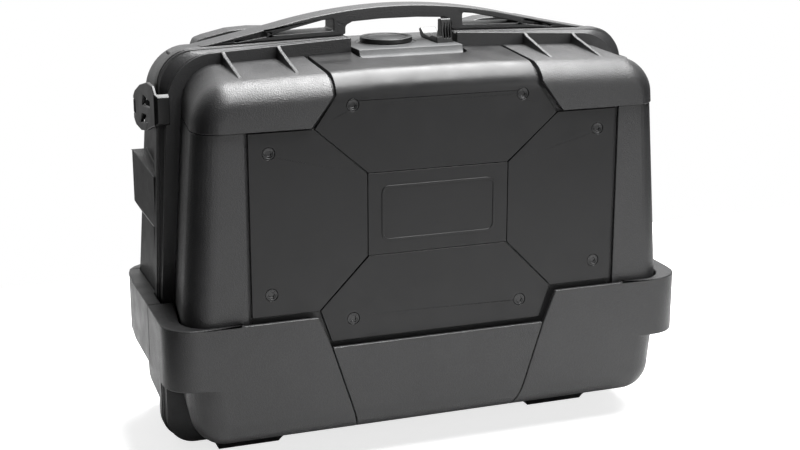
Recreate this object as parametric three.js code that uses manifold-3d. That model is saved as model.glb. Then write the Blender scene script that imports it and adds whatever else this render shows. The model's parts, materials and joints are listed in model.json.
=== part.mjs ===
// Hard moulded motorcycle side case: a base half that hangs on the rack, and a cover hinged
// along its lower edge. Millimetres. X runs across the case, Y from the cover's face to the rack,
// Z up. Shapes are drawn from the centre of the badge plate, on the plane of the cover's plates.

import * as THREE from 'three';
import { mergeVertices } from 'three/addons/utils/BufferGeometryUtils.js';
import Module from 'manifold-3d';

const wasm = await Module();
wasm.setup();

// Overall placing
const FLOOR_Z = -240;
const GUARD_FRONT = 7;
const REAR_Y = 225;
const GAP = 0.3;
const WALL = 3;

// Outlines are rectangles with round corners, widest at the waist. Lean narrows them towards the
// top and tuck towards the bottom, per millimetre of height; crown lifts the middle of the top edge.
const WAIST_Z = -90;
const CROWN_X = 61;

// Cover bulge, measured on the plane of the plates
const BULGE = {
  halfWidth: 240.3, top: 127, bottom: -210, corner: 36, foot: 25, crown: 4.6, lean: 0.00033, tuck: 0.0004,
};
const BULGE_EDGE = 25;
const BULGE_TAPER = { halfWidth: -8, top: 4.5, bottom: -3 };
const SKIN = 4;

// Rims where the two halves meet
const SPLIT_Y = 105;
const RIM_FRONT_Y = 94;
const RIM_BACK_Y = 116;
const COVER_RIM_FRONT = {
  halfWidth: 244, top: 141.5, bottom: -238.5, corner: 46, foot: 27, crown: 7, lean: 0.00025, tuck: 0,
};
const COVER_RIM_BACK = {
  halfWidth: 245.5, top: 144, bottom: -239, corner: 34, foot: 27, crown: 4.5, lean: 0.00016, tuck: 0,
};
const BASE_RIM = {
  halfWidth: 246.5, top: 144.5, bottom: -239, corner: 33, foot: 27, crown: 4, lean: 0.00017, tuck: 0,
};

// Base half behind its rim
const BODY_FRONT_Y = 110;
const BASE_BACK_Y = 217;
const BASE_FRONT = {
  halfWidth: 244, top: 139.5, bottom: -236, corner: 40, foot: 28, crown: 0, lean: 0.0003, tuck: 0.0001,
};
const BASE_REAR = {
  halfWidth: 245.2, top: 133.5, bottom: -231, corner: 40, foot: 31, crown: 0, lean: 0.00031, tuck: 0.00017,
};
const BASE_EDGE = 20;

// Plates on the cover's face
const PANEL_SIDE = 180;
const PANEL_TOP = 83;
const PANEL_BOTTOM = -87;
const FRAME_EDGE = 183.5;
const BADGE = { halfWidth: 69, halfHeight: 38.6 };
const TOP_SEAM = { outer: 119, inner: 98, knee: 112, rear: 96 };
const LOW_SEAM = { outer: 116, foot: 105, bottom: -118 };
const SEAM = 0.6;
const CAP_BOTTOM = 85;
const CAP_PROUD = 5;
const GUARD_TOP = -91;
const GUARD_SIDE = 4;

// Side bumper
const BUMPER = { x: 260, rearX: 257.5, top: -90.5, bottom: -149.5, corner: 30, split: 82, back: 216.7 };

// Lock recess in the top edge
const RECESS = { halfWidth: 54, front: 61, back: 147, floor: 118 };

// Hinges along the lower edge
const HINGE = { y: 106, z: -234.5, barrel: 5.5, pin: 2.5, from: 127, to: 200, front: 68 };

const black = (roughness) => new THREE.MeshStandardMaterial({ color: 0x2b2b2d, roughness, metalness: 0 });
const TEXTURED = black(0.62);
const SMOOTH = new THREE.MeshStandardMaterial({ color: 0x262628, roughness: 0.5, metalness: 0 });
const GREY = new THREE.MeshStandardMaterial({ color: 0x77787a, roughness: 0.55, metalness: 0 });
const RUBBER = new THREE.MeshStandardMaterial({ color: 0x141414, roughness: 0.85, metalness: 0 });
const STEEL = new THREE.MeshStandardMaterial({ color: 0x9a9da0, roughness: 0.35, metalness: 1 });

const bag = new THREE.Group();
bag.position.set(0, (GUARD_FRONT - REAR_Y) / 2, -FLOOR_Z);

// ---- Solids -------------------------------------------------------------------------------

function solid(geometry) {
  const bare = geometry.clone();
  bare.deleteAttribute('normal');
  bare.deleteAttribute('uv');
  const merged = mergeVertices(bare, 1e-4);
  const vertProperties = new Float32Array(merged.attributes.position.array);
  const triVerts = new Uint32Array(merged.index.array);
  return new wasm.Manifold(new wasm.Mesh({ numProp: 3, vertProperties, triVerts }));
}

function add(name, shape, material) {
  const mesh = shape.getMesh();
  const geometry = new THREE.BufferGeometry();
  geometry.setAttribute('position', new THREE.BufferAttribute(new Float32Array(mesh.vertProperties), 3));
  geometry.setIndex(new THREE.BufferAttribute(new Uint32Array(mesh.triVerts), 1));
  geometry.computeVertexNormals();
  const node = new THREE.Mesh(geometry, material.clone());
  node.name = name;
  bag.add(node);
}

function joined(shapes) {
  return shapes.reduce((all, shape) => all.add(shape));
}

function without(shape, cutters) {
  return cutters.reduce((left, cutter) => left.subtract(cutter), shape);
}

function polygon(points) {
  return new THREE.Shape(points.map(([a, b]) => new THREE.Vector2(a, b)));
}

const EXTRUDE = { bevelEnabled: false, curveSegments: 6 };

// A flat outline in X and Z, thickened from yFrom to yTo.
function prismY(shape, yFrom, yTo) {
  const geometry = new THREE.ExtrudeGeometry(shape, { ...EXTRUDE, depth: yTo - yFrom });
  geometry.rotateX(Math.PI / 2);
  geometry.translate(0, yTo, 0);
  return solid(geometry);
}

// A flat outline in X and Y, thickened from zFrom to zTo.
function prismZ(shape, zFrom, zTo) {
  const geometry = new THREE.ExtrudeGeometry(shape, { ...EXTRUDE, depth: zTo - zFrom });
  geometry.translate(0, 0, zFrom);
  return solid(geometry);
}

// A flat outline in Y and Z, thickened from xFrom to xTo.
function prismX(shape, xFrom, xTo) {
  const geometry = new THREE.ExtrudeGeometry(shape, { ...EXTRUDE, depth: xTo - xFrom });
  const turn = new THREE.Matrix4().makeBasis(
    new THREE.Vector3(0, 1, 0),
    new THREE.Vector3(0, 0, 1),
    new THREE.Vector3(1, 0, 0),
  );
  geometry.applyMatrix4(turn);
  geometry.translate(xFrom, 0, 0);
  return solid(geometry);
}

function box(x, y, z) {
  const geometry = new THREE.BoxGeometry(x[1] - x[0], y[1] - y[0], z[1] - z[0]);
  geometry.translate((x[0] + x[1]) / 2, (y[0] + y[1]) / 2, (z[0] + z[1]) / 2);
  return solid(geometry);
}

// A cylinder along one axis, from one coordinate to another on that axis.
function rod(axis, radius, from, to, a, b, sides = 20) {
  const geometry = new THREE.CylinderGeometry(radius, radius, to - from, sides);
  const middle = (from + to) / 2;
  if (axis === 'x') {
    geometry.rotateZ(Math.PI / 2);
    geometry.translate(middle, a, b);
  } else if (axis === 'y') {
    geometry.translate(a, middle, b);
  } else {
    geometry.rotateX(Math.PI / 2);
    geometry.translate(a, b, middle);
  }
  return solid(geometry);
}

function roundedRectangle(x, y, radius) {
  const shape = new THREE.Shape();
  const [west, east] = x;
  const [south, north] = y;
  shape.absarc(east - radius, south + radius, radius, -Math.PI / 2, 0);
  shape.absarc(east - radius, north - radius, radius, 0, Math.PI / 2);
  shape.absarc(west + radius, north - radius, radius, Math.PI / 2, Math.PI);
  shape.absarc(west + radius, south + radius, radius, Math.PI, 1.5 * Math.PI);
  return shape;
}

// ---- Lofted bodies ------------------------------------------------------------------------

const CORNER_STEPS = 6;
const EDGE_STEPS = 5;

// A round corner's points, from one angle through a quarter turn.
function quarterArc(x, z, radius, from) {
  return Array.from({ length: CORNER_STEPS + 1 }, (_, step) => {
    const angle = from + step / CORNER_STEPS * Math.PI / 2;
    return [x + radius * Math.cos(angle), z + radius * Math.sin(angle)];
  });
}

// An outline in the plane y, as points running round it.
function ring({ halfWidth, top, bottom, corner, foot, crown, lean, tuck }, y) {
  const points = [
    ...quarterArc(halfWidth - foot, bottom + foot, foot, -Math.PI / 2),
    [halfWidth, WAIST_Z],
    ...quarterArc(halfWidth - corner, top - corner, corner, 0),
    [CROWN_X, top + crown],
    [-CROWN_X, top + crown],
    ...quarterArc(corner - halfWidth, top - corner, corner, Math.PI / 2),
    [-halfWidth, WAIST_Z],
    ...quarterArc(foot - halfWidth, bottom + foot, foot, Math.PI),
  ];
  return points.map(([x, z]) => {
    const rise = z - WAIST_Z;
    return new THREE.Vector3(x * (1 - (rise > 0 ? lean * rise : -tuck * rise)), y, z);
  });
}

function grown(outline, amount) {
  return {
    ...outline,
    halfWidth: outline.halfWidth + amount,
    top: outline.top + amount,
    bottom: outline.bottom - amount,
    corner: Math.max(outline.corner + amount, 3),
    foot: Math.max(outline.foot + amount, 3),
  };
}

function between(one, other, share) {
  const mixed = Object.keys(one).map((key) => [key, THREE.MathUtils.lerp(one[key], other[key], share)]);
  return Object.fromEntries(mixed);
}

// A closed body through a stack of rings that all have the same number of points.
function loft(rings) {
  const count = rings[0].length;
  const index = [];
  for (let row = 0; row < rings.length - 1; row += 1) {
    for (let column = 0; column < count; column += 1) {
      const a = row * count + column;
      const b = row * count + (column + 1) % count;
      index.push(a, b, b + count, a, b + count, a + count);
    }
  }
  const last = (rings.length - 1) * count;
  for (let column = 1; column < count - 1; column += 1) {
    index.push(0, column + 1, column);
    index.push(last, last + column, last + column + 1);
  }
  const geometry = new THREE.BufferGeometry().setFromPoints(rings.flat());
  geometry.setIndex(index);
  return solid(geometry);
}

// The cover's bulge, pushed out by front on its face and by side all round, back to yEnd.
function bulge(front, side, yEnd) {
  const rings = [];
  for (let step = 0; step <= EDGE_STEPS; step += 1) {
    const angle = step / EDGE_STEPS * Math.PI / 2;
    const y = BULGE_EDGE - (BULGE_EDGE + front) * Math.cos(angle);
    const inset = (BULGE_EDGE + side) * (1 - Math.sin(angle));
    rings.push(ring(grown(BULGE, side - inset), y));
  }
  const share = (yEnd - BULGE_EDGE) / (RIM_FRONT_Y - BULGE_EDGE);
  const end = {
    ...BULGE,
    halfWidth: BULGE.halfWidth + BULGE_TAPER.halfWidth * share,
    top: BULGE.top + BULGE_TAPER.top * share,
    bottom: BULGE.bottom + BULGE_TAPER.bottom * share,
  };
  rings.push(ring(grown(end, side), yEnd));
  return loft(rings.reverse());
}

// The base behind its rim, pushed out by grow, from yFrom to its back wall.
function baseBody(grow, yFrom) {
  const rings = [];
  const backY = BASE_BACK_Y + grow;
  const edge = BASE_EDGE + grow;
  const shareAt = (y) => (y - SPLIT_Y) / (BASE_BACK_Y - SPLIT_Y);
  rings.push(ring(grown(between(BASE_FRONT, BASE_REAR, shareAt(yFrom)), grow), yFrom));
  for (let step = 0; step <= EDGE_STEPS; step += 1) {
    const angle = step / EDGE_STEPS * Math.PI / 2;
    const y = backY - edge + edge * Math.sin(angle);
    const inset = edge * (1 - Math.cos(angle));
    rings.push(ring(grown(between(BASE_FRONT, BASE_REAR, shareAt(y)), grow - inset), y));
  }
  return loft(rings.reverse());
}

function baseRim(grow) {
  const outline = grown(BASE_RIM, grow);
  return loft([ring(outline, RIM_BACK_Y + grow), ring(outline, SPLIT_Y)]);
}

function coverRim(grow, yFrom, yTo) {
  return loft([ring(grown(COVER_RIM_BACK, grow), yTo), ring(grown(COVER_RIM_FRONT, grow), yFrom)]);
}

const mirrorX = (shape, side) => (side > 0 ? shape : shape.mirror([1, 0, 0]));
const SIDES = [['left', -1], ['right', 1]];

// ---- Regions of the cover's face ------------------------------------------------------------

const FAR = 300;
const badgeCorner = [BADGE.halfWidth, BADGE.halfHeight];

function panelRegion(points) {
  return prismY(polygon(points), -20, 89);
}

const topRegion = panelRegion([
  [-badgeCorner[0] + SEAM, badgeCorner[1] + SEAM], [badgeCorner[0] - SEAM, badgeCorner[1] + SEAM],
  [TOP_SEAM.outer - SEAM, PANEL_TOP], [TOP_SEAM.inner, TOP_SEAM.knee], [TOP_SEAM.rear, FAR],
  [-TOP_SEAM.rear, FAR], [-TOP_SEAM.inner, TOP_SEAM.knee], [SEAM - TOP_SEAM.outer, PANEL_TOP],
]);

const sideRegion = panelRegion([
  [badgeCorner[0] + SEAM, -badgeCorner[1]], [LOW_SEAM.outer + SEAM, PANEL_BOTTOM],
  [PANEL_SIDE, PANEL_BOTTOM], [PANEL_SIDE, PANEL_TOP], [TOP_SEAM.outer + SEAM, PANEL_TOP],
  [badgeCorner[0] + SEAM, badgeCorner[1]],
]);

const bottomRegion = panelRegion([
  [-badgeCorner[0] + SEAM, -badgeCorner[1] - SEAM], [-LOW_SEAM.outer + SEAM, PANEL_BOTTOM],
  [-LOW_SEAM.foot, LOW_SEAM.bottom], [LOW_SEAM.foot, LOW_SEAM.bottom],
  [LOW_SEAM.outer - SEAM, PANEL_BOTTOM], [badgeCorner[0] - SEAM, -badgeCorner[1] - SEAM],
]);

const capRegion = prismY(polygon([
  [TOP_SEAM.outer + 4, CAP_BOTTOM], [TOP_SEAM.inner + 4, TOP_SEAM.knee + 1],
  [TOP_SEAM.rear + 1.5, FAR], [FAR, FAR], [FAR, CAP_BOTTOM],
]), -20, RIM_FRONT_Y - GAP);

const guardOutline = [
  [LOW_SEAM.outer + 3, GUARD_TOP], [LOW_SEAM.foot + 2, LOW_SEAM.bottom - 3.5],
];
const guardFoot = 79;

// ---- Panel screws ---------------------------------------------------------------------------

const SCREW_SPOTS = [
  [-83, 102.6], [83, 102.6], [-161.5, 64.2], [161.5, 64.2],
  [-161.5, -66.6], [161.5, -66.6], [-84, -98], [84, -98],
];
const SCREW = { head: 5.4, headDepth: 2.2, shank: 2.5, length: 11, socket: 2.2, sides: 16 };

const screwSeats = joined(SCREW_SPOTS.flatMap(([x, z]) => [
  rod('y', SCREW.head + 0.5, -1, SCREW.headDepth + 0.5, x, z, SCREW.sides),
  rod('y', SCREW.shank + GAP, 1, SCREW.length + 4, x, z, SCREW.sides),
]));

function panelScrew([x, z]) {
  const head = rod('y', SCREW.head, GAP, SCREW.headDepth, x, z, SCREW.sides);
  const shank = rod('y', SCREW.shank, 1, SCREW.length, x, z, SCREW.sides);
  const socket = rod('y', SCREW.socket, -1, 1.7, x, z, 6);
  return without(head.add(shank), [socket]);
}

// ---- Cover half -----------------------------------------------------------------------------

const recess = prismZ(roundedRectangle(
  [-RECESS.halfWidth, RECESS.halfWidth],
  [RECESS.front, RECESS.back + 40],
  12,
), RECESS.floor, FAR).intersect(box([-FAR, FAR], [0, RECESS.back], [0, FAR]));

const hingeNotches = joined(SIDES.map(([, side]) => mirrorX(
  box([HINGE.from - 1, HINGE.to + 1], [93, 119], [-245, HINGE.z + HINGE.barrel + 1.2]),
  side,
)));

// Below the line of the pins the cover's rear edge is cut back, or it would swing into the base.
const hingeRelief = box([-FAR, FAR], [HINGE.y - 4.8, HINGE.y], [-FAR, HINGE.z + 1.3]);

const coverCavity = bulge(-SKIN - WALL, -SKIN - WALL, SPLIT_Y + 10);
const shellHull = bulge(-SKIN, -SKIN, RIM_FRONT_Y + 0.5);

function lockFloor(yFrom, yTo) {
  return box([-RECESS.halfWidth - 8, RECESS.halfWidth + 8], [yFrom, yTo], [RECESS.floor - WALL, 133]);
}

function coverShell() {
  const rim = coverRim(0, RIM_FRONT_Y, SPLIT_Y - GAP);
  const frames = bulge(0, 0, RIM_FRONT_Y + 0.5).subtract(bulge(-SKIN - 1, -SKIN - 1, RIM_FRONT_Y + 1));
  const frameRegion = joined(SIDES.map(([, side]) => mirrorX(
    box([FRAME_EDGE, FAR], [-5, RIM_FRONT_Y + 0.4], [GUARD_TOP - 6, CAP_BOTTOM - GAP]),
    side,
  )));
  const hull = joined([shellHull, rim]);
  const lockWalls = hull.intersect(lockFloor(RECESS.front - WALL, SPLIT_Y - GAP));
  const hollow = joined([hull.subtract(coverCavity), frames.intersect(frameRegion), lockWalls]);
  const sealLand = box(
    [-RECESS.halfWidth - 12, RECESS.halfWidth + 12],
    [SPLIT_Y - 8, SPLIT_Y - GAP],
    [RECESS.floor - 12, RECESS.floor - 1],
  );
  const holes = joined(SCREW_SPOTS.map(([x, z]) => (
    rod('y', SCREW.shank + GAP, -1, SCREW.length + 4, x, z, SCREW.sides)
  )));
  return without(hollow.add(sealLand), [recess, hingeNotches, hingeRelief, holes]);
}

function plate(region) {
  const skin = bulge(0, 0, RIM_FRONT_Y).subtract(bulge(GAP - SKIN, GAP - SKIN, RIM_FRONT_Y + 1));
  const lockClearance = prismZ(roundedRectangle(
    [-RECESS.halfWidth - 1, RECESS.halfWidth + 1],
    [RECESS.front - 1, RECESS.back],
    13,
  ), RECESS.floor - 10, FAR);
  return without(skin.intersect(region), [screwSeats, lockClearance]);
}

function badgePlate() {
  const { halfWidth, halfHeight } = BADGE;
  const base = box([-halfWidth, halfWidth], [0, SKIN - GAP], [-halfHeight, halfHeight]);
  const border = prismY(roundedRectangle([-56, 56], [-26, 26], 8), -1, 1);
  const inside = prismY(roundedRectangle([-54, 54], [-24, 24], 6), -2, 2);
  return base.add(border.subtract(inside));
}

// A thin web from the cover's deck up to the rim.
function gusset(x, deck, crest) {
  const web = polygon([[25, 120], [26, deck], [RIM_FRONT_Y - GAP, crest], [RIM_FRONT_Y - GAP, 120]]);
  return prismX(web, x - 1.6, x + 1.6);
}

function cornerCap() {
  const outer = bulge(CAP_PROUD, 0, RIM_FRONT_Y + 1);
  const inner = bulge(GAP - SKIN, GAP - SKIN, RIM_FRONT_Y + 2);
  const ribs = joined([gusset(125.5, 130, 144.8), gusset(178, 128.2, 141.9)]);
  return outer.add(ribs).subtract(inner).intersect(capRegion);
}

// Plan of the side bumper on the right: out round the front corner and back along the side.
function bumperPlan(grow) {
  const { x, rearX, corner, back } = BUMPER;
  const outer = x + grow;
  const radius = corner + grow;
  const shape = new THREE.Shape();
  shape.moveTo(190, -GUARD_FRONT - grow);
  shape.lineTo(outer - radius, -GUARD_FRONT - grow);
  shape.absarc(outer - radius, radius - GUARD_FRONT - grow, radius, -Math.PI / 2, 0);
  shape.lineTo(outer, 157);
  shape.lineTo(rearX + grow, back - 24);
  shape.lineTo(rearX - 2.5 + grow, back - 14);
  shape.lineTo(rearX - 8 + grow, back - 6 + grow / 2);
  shape.lineTo(rearX - 16, back + grow);
  shape.lineTo(190, back + grow);
  return shape;
}

function bumper(yFrom, yTo) {
  const outer = prismZ(bumperPlan(0), BUMPER.bottom, BUMPER.top);
  const inner = prismZ(bumperPlan(-3.5), BUMPER.bottom + 3.5, BUMPER.top - 3.5);
  return outer.subtract(inner).intersect(box([0, FAR], [yFrom, yTo], [-FAR, FAR]));
}

const coverRimRoom = coverRim(0.5, RIM_FRONT_Y - GAP, SPLIT_Y);

const guardSkin = bulge(GUARD_FRONT, GUARD_SIDE, RIM_FRONT_Y - GAP)
  .subtract(bulge(2.5, 2, RIM_FRONT_Y + 1));

function sideGuard() {
  const [corner, knee] = guardOutline;
  const region = prismY(polygon([
    corner, knee, [guardFoot + 0.5, -208], [guardFoot + 0.5, -FAR], [FAR, -FAR], [FAR, GUARD_TOP],
  ]), -20, RIM_FRONT_Y - GAP);
  const skin = guardSkin.intersect(region);
  return without(skin.add(bumper(-20, BUMPER.split - GAP)), [bulge(2.5, 2, RIM_FRONT_Y + 1), coverRimRoom]);
}

function centreGuard() {
  const [, knee] = guardOutline;
  const region = prismY(polygon([
    [-guardFoot, -FAR], [guardFoot, -FAR], [guardFoot, -208], [knee[0] - 0.5, knee[1]],
    [0.5 - knee[0], knee[1]], [-guardFoot, -208],
  ]), -20, RIM_FRONT_Y - GAP);
  return guardSkin.intersect(region);
}

// The upstanding catch that the latch hook holds.
function coverStriker() {
  const foot = box([8, 32], [80, 94], [RECESS.floor + GAP, RECESS.floor + 1.5]);
  const lip = box([8, 32], [80, 82.5], [RECESS.floor + GAP, RECESS.floor + 3.2]);
  return foot.add(lip);
}

// One half of a hinge: a block and the knuckles that stand on its side of the pin.
function hingeHalf(yFrom, yTo, blockTop, knuckles) {
  const { y, z, barrel, pin } = HINGE;
  const low = z - barrel;
  const bore = rod('x', pin + 0.05, 100, 220, y, z, 24);
  const towards = yFrom < y ? [yFrom, y] : [y, yTo];
  const inner = yFrom < y ? [yFrom, y - barrel - 1] : [y + barrel + 1, yTo];
  const parts = knuckles.flatMap((span) => [
    rod('x', barrel, span[0], span[1], y, z, 24),
    box(span, towards, [low, z + 1]),
  ]);
  const block = box([HINGE.from, HINGE.to], inner, [low, blockTop]);
  return joined([block, ...parts]).subtract(bore);
}

// The cover's half, which is also a foot. Both sides take the same moulding, shifted and not mirrored.
function hingeLeaf(side) {
  const { from, to, front, y, z, barrel } = HINGE;
  const guardLow = bulge(GUARD_FRONT + GAP, GUARD_SIDE + GAP, RIM_FRONT_Y + 5);
  const reach = hingeHalf(front, y, -213, [[from, 150], [177, to]]);
  const toe = prismX(polygon([[front, -213], [front - 7, -213], [front, z - barrel + 3]]), from, to);
  const slope = polygon([[to - 13, z - barrel], [to + 1, z - barrel], [to + 1, z + 9]]);
  const slant = prismY(slope, 0, y - barrel - 1);
  const leaf = reach.add(toe).subtract(slant);
  const placed = side > 0 ? leaf : leaf.translate([-from - to, 0, 0]);
  return without(placed, [guardLow, coverRimRoom.subtract(hingeNotches)]);
}

function hingeBracket() {
  const reach = hingeHalf(HINGE.y, 150, -221, [[150.4, 176.6]]);
  const clear = joined([baseBody(GAP, BODY_FRONT_Y), baseRim(GAP).subtract(hingeNotches)]);
  return reach.subtract(clear);
}

// ---- Base half ------------------------------------------------------------------------------

// The seal's path: round the opening, stepping down below the lock recess.
function sealPath(grow) {
  const shape = new THREE.Shape();
  const x = 232.5 + grow;
  const top = 137.5 + grow;
  const low = -222 - grow;
  const radius = 52 + grow;
  const step = RECESS.halfWidth + 10 - grow;
  const dip = RECESS.floor - 6 + grow;
  shape.moveTo(-step, top);
  shape.lineTo(-step, dip);
  shape.lineTo(step, dip);
  shape.lineTo(step, top);
  shape.absarc(x - radius, top - radius, radius, Math.PI / 2, 0, true);
  shape.absarc(x - radius, low + radius, radius, 0, -Math.PI / 2, true);
  shape.absarc(radius - x, low + radius, radius, -Math.PI / 2, -Math.PI, true);
  shape.absarc(radius - x, top - radius, radius, Math.PI, Math.PI / 2, true);
  return shape;
}

function sealRing(halfThickness, yFrom, yTo) {
  const inside = prismY(sealPath(-halfThickness), yFrom - 1, yTo + 1);
  return prismY(sealPath(halfThickness), yFrom, yTo).subtract(inside);
}

const LATCH = { x: 241, y: 180, low: 66, high: 95, pin: 2.5, knuckle: 6, lugLow: 74, lugHigh: 87 };

// The lug that carries a side latch, between the latch's two knuckles.
function latchLug() {
  const lug = new THREE.Shape();
  lug.moveTo(222, LATCH.y - 9);
  lug.lineTo(LATCH.x, LATCH.y - LATCH.knuckle);
  lug.absarc(LATCH.x, LATCH.y, LATCH.knuckle, -Math.PI / 2, Math.PI / 2);
  lug.lineTo(222, LATCH.y + 9);
  return prismZ(lug, LATCH.lugLow, LATCH.lugHigh)
    .subtract(rod('z', LATCH.pin + 0.05, LATCH.low - 10, LATCH.high + 10, LATCH.x, LATCH.y, 24));
}

// A pad that runs out from flush with the rim to proud of the side at the rear.
function sidePad() {
  const front = prismY(polygon([
    [228, -30], [241, -30], [250, -15], [250, 38], [246, 41.5], [228, 41.5],
  ]), 110, 190);
  const plan = prismZ(polygon([[228, 112], [243.3, 112], [250, 184], [247, 190], [228, 190]]), -40, 50);
  return front.intersect(plan);
}

function rearHump() {
  return prismY(polygon([
    [84, 128], [84, 143], [92, 148.5], [107, 151.5], [133, 152.7], [155, 151.5], [178, 146.5], [187, 143.5],
    [190, 137], [184, 122],
  ]), 158, 182);
}

function baseShell() {
  const hull = joined([baseRim(0), baseBody(0, BODY_FRONT_Y)]);
  const cavityOutline = grown(between(BASE_FRONT, BASE_REAR, 0.1), -WALL);
  const mouth = grown(BASE_RIM, -20);
  const cavity = joined([
    loft([ring(mouth, RIM_BACK_Y + 1), ring(mouth, SPLIT_Y - 5)]),
    baseBody(-WALL, RIM_BACK_Y).intersect(
      loft([ring(cavityOutline, BASE_BACK_Y), ring(cavityOutline, RIM_BACK_Y)]),
    ),
  ]);
  const lockWalls = hull.intersect(lockFloor(SPLIT_Y, RECESS.back + WALL));
  const sealLand = box(
    [-RECESS.halfWidth - 12, RECESS.halfWidth + 12],
    [SPLIT_Y, RIM_BACK_Y],
    [RECESS.floor - 12, RECESS.floor - 1],
  );
  const sides = SIDES.flatMap(([, side]) => [latchLug(), sidePad(), rearHump()]
    .map((piece) => mirrorX(piece, side)));
  const outside = joined(sides).subtract(baseBody(-WALL / 2, BODY_FRONT_Y - 5));
  const groove = sealRing(2.8, SPLIT_Y - 1, SPLIT_Y + 4);
  const rackWindow = box([-16, 16], [197, 227], [98.5, 109.5]);
  const shell = joined([hull.subtract(cavity), lockWalls, sealLand, outside]);
  return without(shell, [recess, hingeNotches, groove, rackWindow, mountScrewHoles]);
}

const HANDLE = { front: 108, back: 136, reach: 222, knee: 123, crown: 175, opening: 55 };

function handleTop(x) {
  const curve = HANDLE.crown - 0.001 * Math.min(Math.abs(x), HANDLE.knee) ** 2;
  return curve - 0.205 * Math.max(Math.abs(x) - HANDLE.knee, 0);
}

function handle() {
  const crest = Array.from({ length: 29 }, (_, step) => {
    const x = HANDLE.reach * (1 - step / 14);
    return [x, handleTop(x)];
  });
  const outline = polygon([[HANDLE.reach, 136], ...crest, [-HANDLE.reach, 136]]);
  const arch = prismY(outline, HANDLE.front, HANDLE.back);
  const opening = prismY(polygon([
    [-HANDLE.opening, 100], [HANDLE.opening, 100], [HANDLE.opening - 1, 158], [HANDLE.opening - 8, 161.5],
    [18, 163], [-18, 163], [8 - HANDLE.opening, 161.5], [1 - HANDLE.opening, 158],
  ]), 100, 150);
  const windows = SIDES.map(([, side]) => mirrorX(
    prismY(polygon([[76, 153.5], [125, 152.3], [126, 153.2], [77, 163.5], [76, 162.8]]), 100, 150),
    side,
  ));
  const deckEdge = box([-RECESS.halfWidth - 2, RECESS.halfWidth + 2], [90, 150], [100, 150]);
  return without(arch, [opening, ...windows, baseBody(GAP, BODY_FRONT_Y), baseRim(GAP), deckEdge]);
}

// ---- Lock group -------------------------------------------------------------------------------

const LOCK = { x: -10, y: 118, barrel: 9, capRadius: 25.5, deck: 139.5 };
const LEVER = { from: 33, to: 50, y: 98, z: 135, pin: 1.5 };
const HOOK = { from: 12, to: 28, y: 120, z: 123, pin: 1.5 };
const CAP_PIN = { x: -4, y: 139, radius: 1.6 };

function lockHousing() {
  const plan = (inset) => (
    roundedRectangle([inset - 52.5, 52.5 - inset], [64 + inset, 146 - inset], 11 - inset / 2)
  );
  const slope = polygon([[50, 132.8], [64, 134.2], [90, LOCK.deck + 0.2], [90, 160], [50, 160]]);
  const bevel = prismX(slope, -80, 80);
  const body = prismZ(plan(0), RECESS.floor + GAP, LOCK.deck).subtract(bevel);
  const cavity = prismZ(plan(3), RECESS.floor - 2, 131);
  const barrelWall = rod('z', LOCK.barrel + 2.4, RECESS.floor + GAP, 135, LOCK.x, LOCK.y, 24);
  const barrelBore = rod('z', LOCK.barrel + 0.3, RECESS.floor - 2, 150, LOCK.x, LOCK.y, 24);
  const leverSlot = box([LEVER.from - 0.6, LEVER.to + 0.6], [90, 150], [126, 150]);
  const leverWalls = box([LEVER.from - 3, 52.5], [90, 143], [126, 136]);
  const pinBore = rod('x', LEVER.pin + 0.05, LEVER.from - 12, 60, LEVER.y, LEVER.z, 16);
  const lugs = joined([[HOOK.from - 4, HOOK.from - 0.4], [HOOK.to + 0.4, HOOK.to + 4]].map((span) => (
    box(span, [HOOK.y - 5, HOOK.y + 5], [HOOK.z - 3.5, 133])
  )));
  const hookBore = rod('x', HOOK.pin + 0.05, 4, 34, HOOK.y, HOOK.z, 16);
  const hookWindow = box([HOOK.from - 1, HOOK.to + 1], [100, 142], [126, 131.5]);
  const capBore = rod('z', CAP_PIN.radius + 0.05, 130, 150, CAP_PIN.x, CAP_PIN.y, 16);
  const shell = joined([body.subtract(cavity), barrelWall, lugs, leverWalls]);
  return without(shell, [barrelBore, leverSlot, pinBore, hookBore, hookWindow, capBore]);
}

function lockCylinder() {
  const barrel = rod('z', LOCK.barrel, RECESS.floor + 1, LOCK.deck + 0.2, LOCK.x, LOCK.y, 24);
  const slot = box([LOCK.x - 4, LOCK.x + 4], [LOCK.y - 0.9, LOCK.y + 0.9], [LOCK.deck - 8, 150]);
  return barrel.subtract(slot);
}

function lockCap() {
  const disc = rod('z', LOCK.capRadius, LOCK.deck + 0.6, LOCK.deck + 5, LOCK.x, LOCK.y, 36);
  const pinBore = rod('z', CAP_PIN.radius + 0.05, 130, 142.5, CAP_PIN.x, CAP_PIN.y, 16);
  return disc.subtract(pinBore);
}

function releaseLever() {
  const arm = prismX(polygon([
    [LEVER.y - 4, LEVER.z - 3], [LEVER.y + 6, LEVER.z - 4], [LEVER.y + 30, LEVER.z - 1], [144, 143],
    [147, 152], [144.5, 153.5], [138, 147.5], [LEVER.y + 8, 141], [LEVER.y, 140.2], [LEVER.y - 5, 137.5],
  ]), LEVER.from, LEVER.to);
  return arm.subtract(rod('x', LEVER.pin + 0.05, 20, 60, LEVER.y, LEVER.z, 16));
}

function latchHook() {
  const { from, to, y, z, pin } = HOOK;
  const arm = prismX(polygon([
    [y + 5, z - 2.5], [y + 5, z + 2.5], [74, z + 2], [72, z + 1], [72.5, z - 4.3], [76.5, z - 4.3],
    [77.5, z - 1], [110, z - 1.6],
  ]), from, to);
  return arm.subtract(rod('x', pin + 0.05, 0, 40, y, z, 16));
}

// ---- Side latches -----------------------------------------------------------------------------

// The latch's plate seen from the side, from its claw round the rounded rear end.
const LATCH_OUTLINE = [
  [89, 98], [89, 105], [100, 113], [120, 113], [150, 106], [172, 97], [183, 89], [187.5, 80],
  [184, 70], [172, 63.5], [150, 62], [128, 66], [100, 75.5], [93.4, 82], [93.4, 98],
];

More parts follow.
